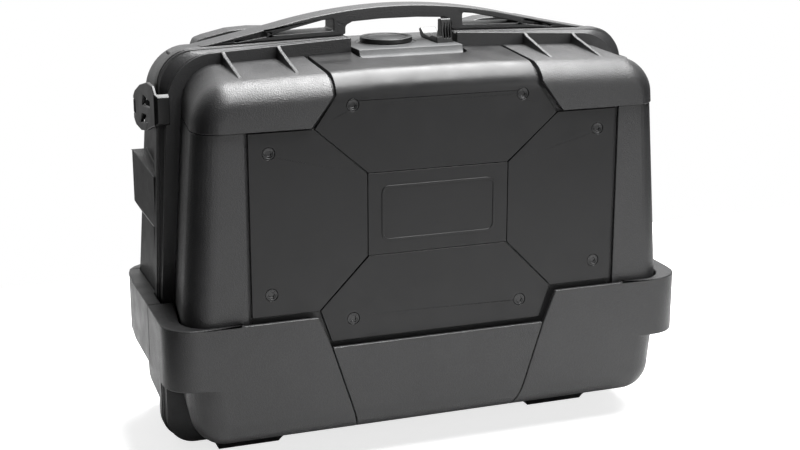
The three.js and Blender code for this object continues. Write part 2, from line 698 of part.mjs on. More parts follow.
function sideLatch() {
  const { x, y, low, high, knuckle, pin, lugLow, lugHigh } = LATCH;
  const plan = new THREE.Shape();
  plan.moveTo(230, 89.5);
  plan.lineTo(241, 89.5);
  plan.lineTo(244, 92);
  plan.lineTo(x + knuckle, y - 4);
  plan.absarc(x, y, knuckle, 0, Math.PI);
  plan.lineTo(x + 2.2, y - 10);
  plan.lineTo(241.3, 118);
  plan.lineTo(240.9, 93.4);
  plan.lineTo(230, 93.4);
  const plate = prismZ(plan, 50, 120).intersect(prismX(polygon(LATCH_OUTLINE), 200, 300));
  const windows = [
    prismX(polygon([[108, 91], [108, 96.5], [136, 98.6], [141, 88]]), 200, 300),
    prismX(polygon([[113.5, 82], [119.4, 75.3], [152, 69.5], [143, 80]]), 200, 300),
  ];
  const lugRoom = box([225, 260], [y - knuckle - 3, y + knuckle + 3], [lugLow - GAP, lugHigh + GAP]);
  const pinBore = rod('z', pin + 0.05, low - 10, high + 10, x, y, 24);
  return without(plate, [...windows, lugRoom, pinBore]);
}

// ---- Rack side ----------------------------------------------------------------------------------

const CATCH = { halfWidth: 15.5, low: 99, high: 109 };
const MOUNT = { halfWidth: 120, low: -165, high: 118, front: BASE_BACK_Y + GAP, back: REAR_Y };
const MOUNT_SCREWS = [[-100, -140], [100, -140], [-100, 92], [100, 92]];
const mountScrewHoles = joined(MOUNT_SCREWS.map(([x, z]) => (
  rod('y', 2.8, BASE_BACK_Y - 15, REAR_Y + 4, x, z, 12)
)));

function mountPlate() {
  const plateBody = prismY(roundedRectangle(
    [-MOUNT.halfWidth, MOUNT.halfWidth],
    [MOUNT.low, MOUNT.high],
    24,
  ), MOUNT.front, MOUNT.back);
  const through = [MOUNT.front - 5, MOUNT.back + 5];
  const light = prismY(roundedRectangle([-70, 70], [-90, 60], 20), ...through);
  const pockets = SIDES.map(([, side]) => mirrorX(box([46, 82], through, [-142, -126]), side));
  const catchWindow = box([-16.4, 16.4], through, [78, 112]);
  const counterbores = MOUNT_SCREWS.map(([x, z]) => rod('y', 5.5, MOUNT.back - 3.5, through[1], x, z, 16));
  return without(plateBody, [light, ...pockets, catchWindow, mountScrewHoles, ...counterbores]);
}

function mountScrew([x, z]) {
  const head = rod('y', 5, MOUNT.back - 3.2, MOUNT.back - 0.5, x, z, 16);
  const shank = rod('y', 2.5, BASE_BACK_Y - 10, MOUNT.back - 2, x, z, 12);
  const socket = rod('y', 2, MOUNT.back - 2, MOUNT.back + 2, x, z, 6);
  return head.add(shank).subtract(socket);
}

// The sprung tongue that snaps over the rack's tab.
function rackCatch() {
  const tongue = polygon([[201, 99], [201, 109], [220, 109], [224.5, 104], [224.5, 99]]);
  return prismX(tongue, -CATCH.halfWidth, CATCH.halfWidth);
}

// The box inside the base that guides the tongue and keeps luggage off it.
function catchHousing() {
  const { halfWidth, low, high } = CATCH;
  const outer = box([-halfWidth - 4, halfWidth + 4], [188, BASE_BACK_Y - WALL - GAP], [low - 4, high + 2.5]);
  const room = box([-halfWidth - 0.5, halfWidth + 0.5], [191, BASE_BACK_Y], [low - 0.5, high + 0.5]);
  return outer.subtract(room);
}

function rearFoot() {
  const foot = prismZ(roundedRectangle([150, 190], [178, 196], 6), FLOOR_Z, -224);
  return foot.subtract(baseBody(GAP, BODY_FRONT_Y));
}

function rearBumper() {
  const body = baseBody(GAP, BODY_FRONT_Y);
  const widest = grown(COVER_RIM_BACK, 1.5);
  const swing = loft([ring(widest, SPLIT_Y), ring(widest, BUMPER.split - 2)]);
  const rims = joined([baseRim(GAP + 0.2), swing]);
  return without(bumper(BUMPER.split + GAP, REAR_Y), [body, mirrorX(body, -1), rims]);
}

// ---- Assembly ----------------------------------------------------------------------------------

add('base_shell', baseShell(), TEXTURED);
add('rim_seal', sealRing(2.4, SPLIT_Y + GAP, SPLIT_Y + 3.6), RUBBER);
add('handle', handle(), TEXTURED);
add('lock_housing', lockHousing(), GREY);
add('lock_cylinder', lockCylinder(), STEEL);
add('lock_cap', lockCap(), GREY);
add('lock_cap_pin', rod('z', CAP_PIN.radius, 131.5, 142, CAP_PIN.x, CAP_PIN.y, 16), STEEL);
add('release_lever', releaseLever(), SMOOTH);
add('release_lever_pin', rod('x', LEVER.pin, LEVER.from - 2.5, 52, LEVER.y, LEVER.z, 16), STEEL);
add('latch_hook', latchHook(), STEEL);
add('latch_hook_pin', rod('x', HOOK.pin, HOOK.from - 3.5, HOOK.to + 3.5, HOOK.y, HOOK.z, 16), STEEL);
add('mount_plate', mountPlate(), SMOOTH);
MOUNT_SCREWS.forEach((spot, i) => add(`mount_screw_${i + 1}`, mountScrew(spot), STEEL));
add('rack_catch', rackCatch(), STEEL);
add('catch_housing', catchHousing(), SMOOTH);

add('cover_shell', coverShell(), TEXTURED);
add('panel_top', plate(topRegion), SMOOTH);
add('panel_bottom', plate(bottomRegion), SMOOTH);
add('badge_plate', badgePlate(), SMOOTH);
add('guard_center', centreGuard(), TEXTURED);
add('cover_striker', coverStriker(), STEEL);
SCREW_SPOTS.forEach((spot, i) => add(`panel_screw_${i + 1}`, panelScrew(spot), STEEL));

for (const [name, side] of SIDES) {
  add(`panel_${name}`, plate(mirrorX(sideRegion, side)), SMOOTH);
  add(`corner_cap_${name}`, mirrorX(cornerCap(), side), TEXTURED);
  add(`guard_${name}`, mirrorX(sideGuard(), side), TEXTURED);
  add(`hinge_leaf_${name}`, hingeLeaf(side), SMOOTH);
  add(`hinge_bracket_${name}`, mirrorX(hingeBracket(), side), SMOOTH);
  add(`hinge_pin_${name}`, mirrorX(rod('x', HINGE.pin, 126, 201, HINGE.y, HINGE.z, 24), side), STEEL);
  add(`side_latch_${name}`, mirrorX(sideLatch(), side), SMOOTH);
  add(`side_latch_pin_${name}`, mirrorX(
    rod('z', LATCH.pin, LATCH.low, LATCH.high, LATCH.x, LATCH.y, 24),
    side,
  ), STEEL);
  add(`bumper_${name}`, mirrorX(rearBumper(), side), TEXTURED);
  add(`rear_foot_${name}`, mirrorX(rearFoot(), side), RUBBER);
}

export default bag;
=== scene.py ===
import json
import math

import bmesh
import bpy
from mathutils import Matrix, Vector


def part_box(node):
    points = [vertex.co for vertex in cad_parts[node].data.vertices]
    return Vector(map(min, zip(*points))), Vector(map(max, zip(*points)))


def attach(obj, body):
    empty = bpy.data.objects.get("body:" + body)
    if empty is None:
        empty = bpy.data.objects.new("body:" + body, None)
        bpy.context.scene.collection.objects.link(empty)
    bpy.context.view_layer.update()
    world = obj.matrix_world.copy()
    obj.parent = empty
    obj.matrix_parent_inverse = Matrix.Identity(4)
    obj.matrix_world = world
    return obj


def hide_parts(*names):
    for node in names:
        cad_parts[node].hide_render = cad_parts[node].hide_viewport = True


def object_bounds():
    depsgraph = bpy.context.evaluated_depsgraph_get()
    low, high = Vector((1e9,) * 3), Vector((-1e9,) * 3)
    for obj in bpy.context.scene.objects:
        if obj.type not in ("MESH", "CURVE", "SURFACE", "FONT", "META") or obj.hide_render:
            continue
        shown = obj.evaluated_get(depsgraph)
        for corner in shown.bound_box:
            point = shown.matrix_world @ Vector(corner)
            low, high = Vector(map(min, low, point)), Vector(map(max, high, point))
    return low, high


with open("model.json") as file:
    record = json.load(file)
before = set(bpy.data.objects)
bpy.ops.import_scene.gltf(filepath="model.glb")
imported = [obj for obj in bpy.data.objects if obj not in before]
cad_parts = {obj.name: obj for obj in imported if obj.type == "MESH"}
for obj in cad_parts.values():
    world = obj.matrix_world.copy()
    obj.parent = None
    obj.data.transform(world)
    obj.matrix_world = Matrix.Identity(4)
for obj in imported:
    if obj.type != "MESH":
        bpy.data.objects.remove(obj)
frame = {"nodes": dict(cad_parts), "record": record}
cad_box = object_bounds()

# ---- Places -------------------------------------------------------------------------------
# Shapes are given in millimetres from the centre of the badge plate, on the plane of the plates.

MM = 0.001
badge_low, badge_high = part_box("badge_plate")
ORIGIN = Vector((0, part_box("panel_left")[0].y, (badge_low.z + badge_high.z) / 2))


def place(point):
    return ORIGIN + Vector(point) * MM


# Outlines are rectangles with round corners, widest at the waist. Lean narrows them towards the
# top and tuck towards the bottom; crown lifts the middle of the top edge.
WAIST_Z = -90
CROWN_X = 61
GUARD_FRONT = 7
GUARD_SIDE = 4
GAP = 0.3
WALL = 3
SKIN = 4
FAR = 300
SPLIT_Y = 105
LIP_Y = 91.5
RIM_FRONT_Y = 94
RIM_BACK_Y = 116
BODY_FRONT_Y = 110
BASE_BACK_Y = 217
REAR_Y = 225
BULGE_EDGE = 25
BASE_EDGE = 20
CORNER_STEPS = 14
EDGE_STEPS = 9


def outline(half_width, top, bottom, corner, foot, crown=0.0, lean=0.0, tuck=0.0):
    return {
        "half_width": half_width, "top": top, "bottom": bottom, "corner": corner,
        "foot": foot, "crown": crown, "lean": lean, "tuck": tuck,
    }


BULGE = outline(240.3, 127, -208.5, 32, 25, crown=4.6, lean=0.00033, tuck=0.0004)
BULGE_TAPER = {"half_width": -8, "top": 4.5, "bottom": -3}
COVER_RIM_FRONT = outline(244, 141.5, -238.5, 46, 27, crown=7, lean=0.00025)
COVER_RIM_BACK = outline(245.5, 144, -239, 34, 27, crown=4.5, lean=0.00016)
BASE_RIM = outline(246.5, 144.5, -239, 33, 27, crown=4, lean=0.00017)
BASE_FRONT = outline(244, 139.5, -236, 40, 28, lean=0.0003, tuck=0.0001)
BASE_REAR = outline(245.2, 133.5, -231, 40, 31, lean=0.00031, tuck=0.00017)

PANEL_SIDE = 180
PANEL_TOP = 83
PANEL_BOTTOM = -87
FRAME_EDGE = 183.5
BADGE_X, BADGE_Z = 69, 38.6
SEAM = 0.6
CAP_BOTTOM = 85
CAP_PROUD = 5
GUARD_TOP = -91
RECESS_X, RECESS_FRONT, RECESS_BACK, RECESS_FLOOR = 54, 61, 147, 118
HINGE_Y, HINGE_Z, HINGE_BARREL = 106, -234.5, 5.5
HINGE_FROM, HINGE_TO, HINGE_FRONT = 127, 200, 68
SCREW_SPOTS = (
    (-83, 102.6), (83, 102.6), (-161.5, 64.2), (161.5, 64.2),
    (-161.5, -66.6), (161.5, -66.6), (-84, -98), (84, -98),
)


# ---- Solids -------------------------------------------------------------------------------

def solid(vertices, faces):
    """A closed mesh object, still in case millimetres."""
    mesh = bpy.data.meshes.new("solid")
    mesh.from_pydata([tuple(v) for v in vertices], [], faces)
    shape = bmesh.new()
    shape.from_mesh(mesh)
    bmesh.ops.recalc_face_normals(shape, faces=shape.faces)
    shape.to_mesh(mesh)
    shape.free()
    made = bpy.data.objects.new("solid", mesh)
    bpy.context.scene.collection.objects.link(made)
    return made


def combine(target, others, operation):
    for other in others:
        modifier = target.modifiers.new("join", "BOOLEAN")
        modifier.operation = operation
        modifier.solver = "MANIFOLD"
        modifier.object = other
    graph = bpy.context.evaluated_depsgraph_get()
    mesh = bpy.data.meshes.new_from_object(target.evaluated_get(graph))
    target.modifiers.clear()
    target.data = mesh
    for other in others:
        bpy.data.objects.remove(other)
    return target


def cut(target, *others):
    return combine(target, others, "DIFFERENCE")


def join(target, *others):
    return combine(target, others, "UNION")


def meet(target, *others):
    return combine(target, others, "INTERSECT")


def twin_of(shape):
    twin = bpy.data.objects.new("solid", shape.data.copy())
    bpy.context.scene.collection.objects.link(twin)
    return twin


def mirrored(shape):
    """The shape turned into its own mirror image across the middle of the case."""
    for vertex in shape.data.vertices:
        vertex.co.x = -vertex.co.x
    shape.data.flip_normals()
    return shape


def sided(shape, side):
    return shape if side > 0 else mirrored(shape)


AXES = {"x": (1, 2, 0), "y": (0, 2, 1), "z": (0, 1, 2)}


def prism(axis, points, low, high):
    """A flat outline, thickened along one axis."""
    first, second, depth = AXES[axis]
    vertices = []
    for level in (low, high):
        for a, b in points:
            vertex = [0, 0, 0]
            vertex[first], vertex[second], vertex[depth] = a, b, level
            vertices.append(vertex)
    count = len(points)
    faces = [tuple(range(count)), tuple(reversed(range(count, 2 * count)))]
    faces += [(i, (i + 1) % count, (i + 1) % count + count, i + count) for i in range(count)]
    return solid(vertices, faces)


def box(x, y, z):
    return prism("z", [(x[0], y[0]), (x[1], y[0]), (x[1], y[1]), (x[0], y[1])], z[0], z[1])


def rod(axis, radius, low, high, a, b, sides=48):
    turn = 2 * math.pi / sides
    circle = [(a + radius * math.cos(i * turn), b + radius * math.sin(i * turn)) for i in range(sides)]
    return prism(axis, circle, low, high)


def rounded(points, radius, steps=6):
    """The outline with each corner turned into an arc."""
    result = []
    for i, point in enumerate(points):
        here = Vector(point)
        back = Vector(points[i - 1]) - here
        on = Vector(points[(i + 1) % len(points)]) - here
        reach = min(radius / math.tan(back.angle(on) / 2), 0.48 * min(back.length, on.length))
        start = here + back.normalized() * reach
        end = here + on.normalized() * reach
        for step in range(steps + 1):
            t = step / steps
            result.append(tuple((1 - t) ** 2 * start + 2 * t * (1 - t) * here + t * t * end))
    return result


def rectangle(first, second, radius):
    (west, east), (south, north) = first, second
    return rounded([(west, south), (east, south), (east, north), (west, north)], radius)


# ---- Lofted bodies ------------------------------------------------------------------------

def quarter_arc(x, z, radius, start):
    turns = [start + step / CORNER_STEPS * math.pi / 2 for step in range(CORNER_STEPS + 1)]
    return [(x + radius * math.cos(turn), z + radius * math.sin(turn)) for turn in turns]


def ring(shape, y):
    """The points of an outline at one depth."""
    half, top, bottom = shape["half_width"], shape["top"], shape["bottom"]
    corner, foot, crown = shape["corner"], shape["foot"], shape["crown"]
    points = [
        *quarter_arc(half - foot, bottom + foot, foot, -math.pi / 2),
        (half, WAIST_Z),
        *quarter_arc(half - corner, top - corner, corner, 0),
        (CROWN_X, top + crown),
        (-CROWN_X, top + crown),
        *quarter_arc(corner - half, top - corner, corner, math.pi / 2),
        (-half, WAIST_Z),
        *quarter_arc(foot - half, bottom + foot, foot, math.pi),
    ]

    def narrowed(x, rise):
        return x * (1 - (shape["lean"] * rise if rise > 0 else -shape["tuck"] * rise))

    return [(narrowed(x, z - WAIST_Z), y, z) for x, z in points]


def grown(shape, amount):
    return {
        **shape,
        "half_width": shape["half_width"] + amount,
        "top": shape["top"] + amount,
        "bottom": shape["bottom"] - amount,
        "corner": max(shape["corner"] + amount, 3),
        "foot": max(shape["foot"] + amount, 3),
    }


def between(one, other, share):
    return {key: one[key] + (other[key] - one[key]) * share for key in one}


def loft(rings):
    """A closed body through rings, from the front one to the back one."""
    rings = rings[::-1]
    count = len(rings[0])
    faces = [tuple(reversed(range(count)))]
    for row in range(len(rings) - 1):
        for column in range(count):
            a = row * count + column
            b = row * count + (column + 1) % count
            faces.append((a, b, b + count, a + count))
    faces.append(tuple(range((len(rings) - 1) * count, len(rings) * count)))
    return solid([point for points in rings for point in points], faces)


def bulge(front, side, y_end):
    """The cover's bulge, grown by `front` at its face and by `side` around it."""
    rings = []
    for step in range(EDGE_STEPS + 1):
        angle = step / EDGE_STEPS * math.pi / 2
        y = BULGE_EDGE - (BULGE_EDGE + front) * math.cos(angle)
        inset = (BULGE_EDGE + side) * (1 - math.sin(angle))
        rings.append(ring(grown(BULGE, side - inset), y))
    share = (y_end - BULGE_EDGE) / (RIM_FRONT_Y - BULGE_EDGE)
    end = {
        **BULGE,
        "half_width": BULGE["half_width"] + BULGE_TAPER["half_width"] * share,
        "top": BULGE["top"] + BULGE_TAPER["top"] * share,
        "bottom": BULGE["bottom"] + BULGE_TAPER["bottom"] * share,
    }
    rings.append(ring(grown(end, side), y_end))
    return loft(rings)


def base_body(grow, y_from):
    back_y = BASE_BACK_Y + grow
    edge = BASE_EDGE + grow

    def profile(y):
        return between(BASE_FRONT, BASE_REAR, (y - SPLIT_Y) / (BASE_BACK_Y - SPLIT_Y))

    rings = [ring(grown(profile(y_from), grow), y_from)]
    for step in range(EDGE_STEPS + 1):
        angle = step / EDGE_STEPS * math.pi / 2
        y = back_y - edge + edge * math.sin(angle)
        inset = edge * (1 - math.cos(angle))
        rings.append(ring(grown(profile(y), grow - inset), y))
    return loft(rings)


def base_rim(grow):
    shape = grown(BASE_RIM, grow)
    return loft([ring(shape, SPLIT_Y), ring(shape, RIM_BACK_Y + grow)])


def cover_rim(grow, y_from, y_to):
    return loft([ring(grown(COVER_RIM_FRONT, grow), y_from), ring(grown(COVER_RIM_BACK, grow), y_to)])


# ---- Cover half ---------------------------------------------------------------------------

def recess():
    points = rectangle((-RECESS_X, RECESS_X), (RECESS_FRONT, RECESS_BACK + 40), 12)
    return meet(prism("z", points, RECESS_FLOOR, FAR), box((-FAR, FAR), (0, RECESS_BACK), (0, FAR)))


def hinge_notches():
    span = (HINGE_FROM - 1, HINGE_TO + 1)
    low, high = -245, HINGE_Z + HINGE_BARREL + 1.2
    return join(box(span, (88, 119), (low, high)), box((-span[1], -span[0]), (88, 119), (low, high)))


def lock_floor(y_from, y_to):
    return box((-RECESS_X - 8, RECESS_X + 8), (y_from, y_to), (RECESS_FLOOR - WALL, 133))


def seal_land(y_from, y_to):
    return box((-RECESS_X - 12, RECESS_X + 12), (y_from, y_to), (RECESS_FLOOR - 12, RECESS_FLOOR - 1))


def cover_shell():
    lip = loft([ring(COVER_RIM_FRONT, LIP_Y), ring(COVER_RIM_FRONT, LIP_Y + 3.8)])
    flange = cover_rim(-1.3, LIP_Y + 3, SPLIT_Y - 2.2)
    edge = loft([ring(COVER_RIM_BACK, SPLIT_Y - 3), ring(COVER_RIM_BACK, SPLIT_Y - GAP)])
    hull = join(bulge(-SKIN, -SKIN, RIM_FRONT_Y + 0.5), lip, flange, edge)
    frames = cut(bulge(0, 0, RIM_FRONT_Y + 0.5), bulge(-SKIN - 1, -SKIN - 1, RIM_FRONT_Y + 1))
    sides = (-5, RIM_FRONT_Y + 0.4), (GUARD_TOP - 6, CAP_BOTTOM - 1)
    region = join(box((FRAME_EDGE, FAR), *sides), box((-FAR, -FRAME_EDGE), *sides))
    walls = meet(twin_of(hull), lock_floor(RECESS_FRONT - WALL, SPLIT_Y - GAP))
    shell = cut(hull, bulge(-SKIN - WALL, -SKIN - WALL, SPLIT_Y + 10))
    shell = join(shell, meet(frames, region), walls, seal_land(SPLIT_Y - 8, SPLIT_Y - GAP))
    holes = [rod("y", 2.8, -1, 15, x, z, 24) for x, z in SCREW_SPOTS]
    relief = box((-FAR, FAR), (HINGE_Y - 4.8, HINGE_Y), (-FAR, HINGE_Z + 1.3))
    return cut(shell, recess(), hinge_notches(), relief, *holes)


def plate(points, y_end=89):
    skin = cut(bulge(0, 0, RIM_FRONT_Y), bulge(GAP - SKIN, GAP - SKIN, RIM_FRONT_Y + 1))
    region = prism("y", points, -20, y_end)
    seats = []
    for x, z in SCREW_SPOTS:
        seats.append(rod("y", 5.9, -1, 2.7, x, z, 36))
        seats.append(rod("y", 2.8, 1, 15, x, z, 24))
    points = rectangle((-RECESS_X - 1, RECESS_X + 1), (RECESS_FRONT - 1, RECESS_BACK), 13)
    return cut(meet(skin, region), *seats, prism("z", points, RECESS_FLOOR - 10, FAR))


def panel_top():
    half = [
        (BADGE_X - SEAM, BADGE_Z + SEAM), (119 - SEAM, PANEL_TOP), (98, 112), (96, FAR),
    ]
    return plate([*half, *[(-x, z) for x, z in reversed(half)]])


def panel_side():
    return plate([
        (BADGE_X + SEAM, -BADGE_Z), (116 + SEAM, PANEL_BOTTOM), (PANEL_SIDE, PANEL_BOTTOM),
        (PANEL_SIDE, PANEL_TOP), (119 + SEAM, PANEL_TOP), (BADGE_X + SEAM, BADGE_Z),
    ])


def panel_bottom():
    half = [(BADGE_X - SEAM, -BADGE_Z - SEAM), (116 - SEAM, PANEL_BOTTOM), (105, -118)]
    return plate([*half, *[(-x, z) for x, z in reversed(half)]])


def badge_plate():
    base = box((-BADGE_X, BADGE_X), (0, SKIN - GAP), (-BADGE_Z, BADGE_Z))
    border = prism("y", rectangle((-56, 56), (-26, 26), 8), -0.8, 1)
    inside = prism("y", rectangle((-54.2, 54.2), (-24.2, 24.2), 6.5), -2, 2)
    return join(base, cut(border, inside))


def panel_screw(x, z):
    head = join(rod("y", 5.6, 0.4, 2.2, x, z), rod("y", 2.5, 1, 11, x, z, 24))
    dish = rod("y", 4.2, 0, 0.9, x, z, 36)
    return cut(head, dish, rod("y", 3.0, -1, 2, x, z, 6))


def gusset(x, deck, crest):
    web = [(25, 118), (24, deck - 1.5), (30, deck + 0.4), (60, (deck + crest) / 2 - 0.8)]
    web += [(84, crest - 3), (LIP_Y - GAP, crest), (LIP_Y - GAP, 118)]
    return prism("x", web, x - 1.9, x + 1.9)


def corner_cap():
    points = [
        (123, CAP_BOTTOM), (102, 113), (97.5, FAR), (FAR, FAR), (FAR, CAP_BOTTOM),
    ]
    outer = join(bulge(CAP_PROUD, 0, LIP_Y + 1), gusset(125.5, 130, 145.2), gusset(178, 128.2, 142.3))
    skin = cut(outer, bulge(GAP - SKIN, GAP - SKIN, RIM_FRONT_Y + 2))
    return meet(skin, prism("y", points, -20, LIP_Y - GAP))


# ---- Lower guard and bumper -----------------------------------------------------------------

BUMPER_X, BUMPER_REAR_X, BUMPER_CORNER = 260, 257.5, 30
BUMPER_TOP, BUMPER_BOTTOM, BUMPER_SPLIT, BUMPER_BACK = -90.5, -149.5, 82, 216.7


def bumper_plan(grow):
    outer = BUMPER_X + grow
    radius = BUMPER_CORNER + grow
    turns = [(-90 + 90 * step / 12) * math.pi / 180 for step in range(13)]
    points = [(190, -GUARD_FRONT - grow)]
    for turn in turns:
        points.append((
            outer - radius + radius * math.cos(turn),
            radius - GUARD_FRONT - grow + radius * math.sin(turn),
        ))
    rear = BUMPER_REAR_X + grow
    points += [(outer, 157), (rear, BUMPER_BACK - 24), (rear - 2.5, BUMPER_BACK - 14)]
    points += [(rear - 8, BUMPER_BACK - 6 + grow / 2), (BUMPER_REAR_X - 16, BUMPER_BACK + grow)]
    return [*points, (190, BUMPER_BACK + grow)]


def bumper(y_from, y_to):
    outer = prism("z", bumper_plan(0), BUMPER_BOTTOM, BUMPER_TOP)
    inner = prism("z", bumper_plan(-3.5), BUMPER_BOTTOM + 3.5, BUMPER_TOP - 3.5)
    return meet(cut(outer, inner), box((0, FAR), (y_from, y_to), (-FAR, FAR)))


def guard_skin():
    return cut(bulge(GUARD_FRONT, GUARD_SIDE, LIP_Y - GAP), bulge(2.5, 2, RIM_FRONT_Y + 1))


def side_guard():
    points = [(119, GUARD_TOP), (107, -121.5), (79.5, -208), (79.5, -FAR), (FAR, -FAR), (FAR, GUARD_TOP)]
    skin = meet(guard_skin(), prism("y", points, -20, LIP_Y - GAP))
    skin = join(skin, bumper(-20, BUMPER_SPLIT - GAP))
    return cut(skin, bulge(2.5, 2, RIM_FRONT_Y + 1), cover_rim(0.5, LIP_Y - GAP, SPLIT_Y))


def centre_guard():
    half = [(79, -FAR), (79, -208), (106.5, -121.5)]
    points = [*half, *[(-x, z) for x, z in reversed(half)]]
    return meet(guard_skin(), prism("y", points, -20, LIP_Y - GAP))


def rear_bumper():
    widest = ring(grown(COVER_RIM_BACK, 1.5), 0)
    swing = loft([[(x, y, z) for x, _, z in widest] for y in (BUMPER_SPLIT - 2, SPLIT_Y)])
    shell = bumper(BUMPER_SPLIT + GAP, REAR_Y)
    return cut(shell, base_body(GAP, BODY_FRONT_Y), base_rim(GAP + 0.2), swing)


def hinge_leaf(side):
    bottom = HINGE_Z - HINGE_BARREL
    inner = HINGE_Y - HINGE_BARREL - 1
    parts = [box((HINGE_FROM, HINGE_TO), (HINGE_FRONT, inner), (bottom, -213))]
    for low, high in ((HINGE_FROM, 150), (177, HINGE_TO)):
        parts.append(rod("x", HINGE_BARREL, low, high, HINGE_Y, HINGE_Z))
        parts.append(box((low, high), (HINGE_FRONT, HINGE_Y), (bottom, HINGE_Z + 1)))
    toe = [(HINGE_FRONT, -213), (HINGE_FRONT - 7, -213), (HINGE_FRONT, bottom + 3)]
    parts.append(prism("x", toe, HINGE_FROM, HINGE_TO))
    slope = [(HINGE_TO - 13, bottom), (HINGE_TO + 1, bottom), (HINGE_TO + 1, HINGE_Z + 9)]
    leaf = cut(join(*parts), prism("y", slope, 0, inner))
    leaf = cut(leaf, rod("x", 2.55, 100, 220, HINGE_Y, HINGE_Z))
    if side < 0:
        for vertex in leaf.data.vertices:
            vertex.co.x -= HINGE_FROM + HINGE_TO
    guard = bulge(GUARD_FRONT + GAP, GUARD_SIDE + GAP, RIM_FRONT_Y + 5)
    return cut(leaf, guard, cut(cover_rim(0.5, LIP_Y - GAP, SPLIT_Y), hinge_notches()))


# ---- Base half ----------------------------------------------------------------------------

LATCH_X, LATCH_Y, LATCH_KNUCKLE = 241, 180, 6


def seal_path(grow):
    x, top, low, radius = 232.5 + grow, 137.5 + grow, -222 - grow, 52 + grow
    step = RECESS_X + 10 - grow
    dip = RECESS_FLOOR - 6 + grow
    points = [(-step, top), (-step, dip), (step, dip), (step, top)]
    for centre_x, centre_z, start in (
        (x - radius, top - radius, 90), (x - radius, low + radius, 0),
        (radius - x, low + radius, -90), (radius - x, top - radius, 180),
    ):
        for part in range(9):
            turn = math.radians(start - part * 90 / 8)
            points.append((centre_x + radius * math.cos(turn), centre_z + radius * math.sin(turn)))
    return points


def seal_groove():
    outer = prism("y", seal_path(2.8), SPLIT_Y - 1, SPLIT_Y + 4)
    return cut(outer, prism("y", seal_path(-2.8), SPLIT_Y - 2, SPLIT_Y + 5))


def latch_lug():
    knuckle = [(LATCH_X + LATCH_KNUCKLE * math.sin(math.radians(a)),
                LATCH_Y - LATCH_KNUCKLE * math.cos(math.radians(a))) for a in range(0, 181, 15)]
    lug = prism("z", [(222, LATCH_Y - 9), *knuckle, (222, LATCH_Y + 9)], 74, 87)
    return cut(lug, rod("z", 2.55, 50, 110, LATCH_X, LATCH_Y))


def side_pad():
    points = [(228, -30), (241, -30), (250, -15), (250, 38), (246, 41.5), (228, 41.5)]
    plan = [(228, 112), (243.3, 112), (250, 184), (247, 190), (228, 190)]
    side = rounded([(110, -32), (192, -32), (192, 28), (186, 37), (110, 24)], 5)
    return meet(prism("y", points, 110, 190), prism("z", plan, -40, 50), prism("x", side, 200, 300))


def rear_hump():
    points = [
        (84, 128), (84, 143), (92, 148.5), (107, 151.5), (133, 152.7), (155, 151.5), (178, 146.5),
        (187, 143.5), (190, 137), (184, 122),
    ]
    return prism("y", rounded(points, 6), 158, 182)


def base_shell():
    hull = join(base_rim(0), base_body(0, BODY_FRONT_Y))
    walls = meet(twin_of(hull), lock_floor(SPLIT_Y, RECESS_BACK + WALL))
    inner = grown(between(BASE_FRONT, BASE_REAR, 0.1), -WALL)
    room = meet(base_body(-WALL, RIM_BACK_Y), loft([ring(inner, RIM_BACK_Y), ring(inner, BASE_BACK_Y)]))
    mouth = grown(BASE_RIM, -20)
    cavity = join(loft([ring(mouth, SPLIT_Y - 5), ring(mouth, RIM_BACK_Y + 1)]), room)
    outside = [sided(shape(), side) for side in (-1, 1) for shape in (latch_lug, side_pad, rear_hump)]
    proud = cut(join(*outside), base_body(-WALL / 2, BODY_FRONT_Y - 5))
    shell = join(cut(hull, cavity), walls, seal_land(SPLIT_Y, RIM_BACK_Y), proud)
    holes = [rod("y", 2.8, BASE_BACK_Y - 15, REAR_Y + 4, x, z, 24) for x in (-100, 100) for z in (-140, 92)]
    window = box((-16, 16), (197, 227), (98.5, 109.5))
    return cut(shell, recess(), hinge_notches(), seal_groove(), window, *holes)


def handle_top(x):
    curve = 175 - 0.001 * min(abs(x), 123) ** 2
    return curve - 0.205 * max(abs(x) - 123, 0)


def handle():
    crest = [(x, handle_top(x)) for x in range(222, -223, -6)]
    arch = prism("y", [(222, 136), *crest, (-222, 136)], 108, 136)
    opening = rounded([
        (-55, 100), (55, 100), (54, 158), (47, 161.5), (18, 163), (-18, 163), (-47, 161.5), (-54, 158),
    ], 4)
    cutters = [prism("y", opening, 100, 150)]
    for side in (-1, 1):
        window = [(66, 153.7), (125, 152.3), (126, 153.2), (77, 164), (66, 165.2)]
        pocket = [(131, 151.6), (161, 147.4), (164, 148.6), (133, 156.2)]
        cutters.append(sided(prism("y", rounded(window, 2), 100, 150), side))
        cutters.append(sided(prism("y", rounded(pocket, 1.5), 100, 124), side))
    for low, high in ((130.5, 156), (160, 180)):
        cell = [(low, 100), (high, 100), (high, handle_top(high) - 4.2), (low, handle_top(low) - 4.2)]
        for side in (-1, 1):
            cutters.append(sided(prism("y", rounded(cell, 1.5), 115.5, 140), side))
    deck = box((-RECESS_X - 2, RECESS_X + 2), (90, 150), (100, 150))
    return cut(arch, *cutters, base_body(GAP, BODY_FRONT_Y), base_rim(GAP), deck)


# ---- Lock group and latches -------------------------------------------------------------------

LOCK_X, LOCK_Y, LOCK_DECK, CAP_RADIUS = -10, 118, 139.5, 25.5
PIN_X, PIN_Y, PIN_RADIUS = -4, 139, 1.65


def housing_plan(inset):
    return rectangle((inset - 52.5, 52.5 - inset), (64 + inset, 146 - inset), 11 - inset / 2)


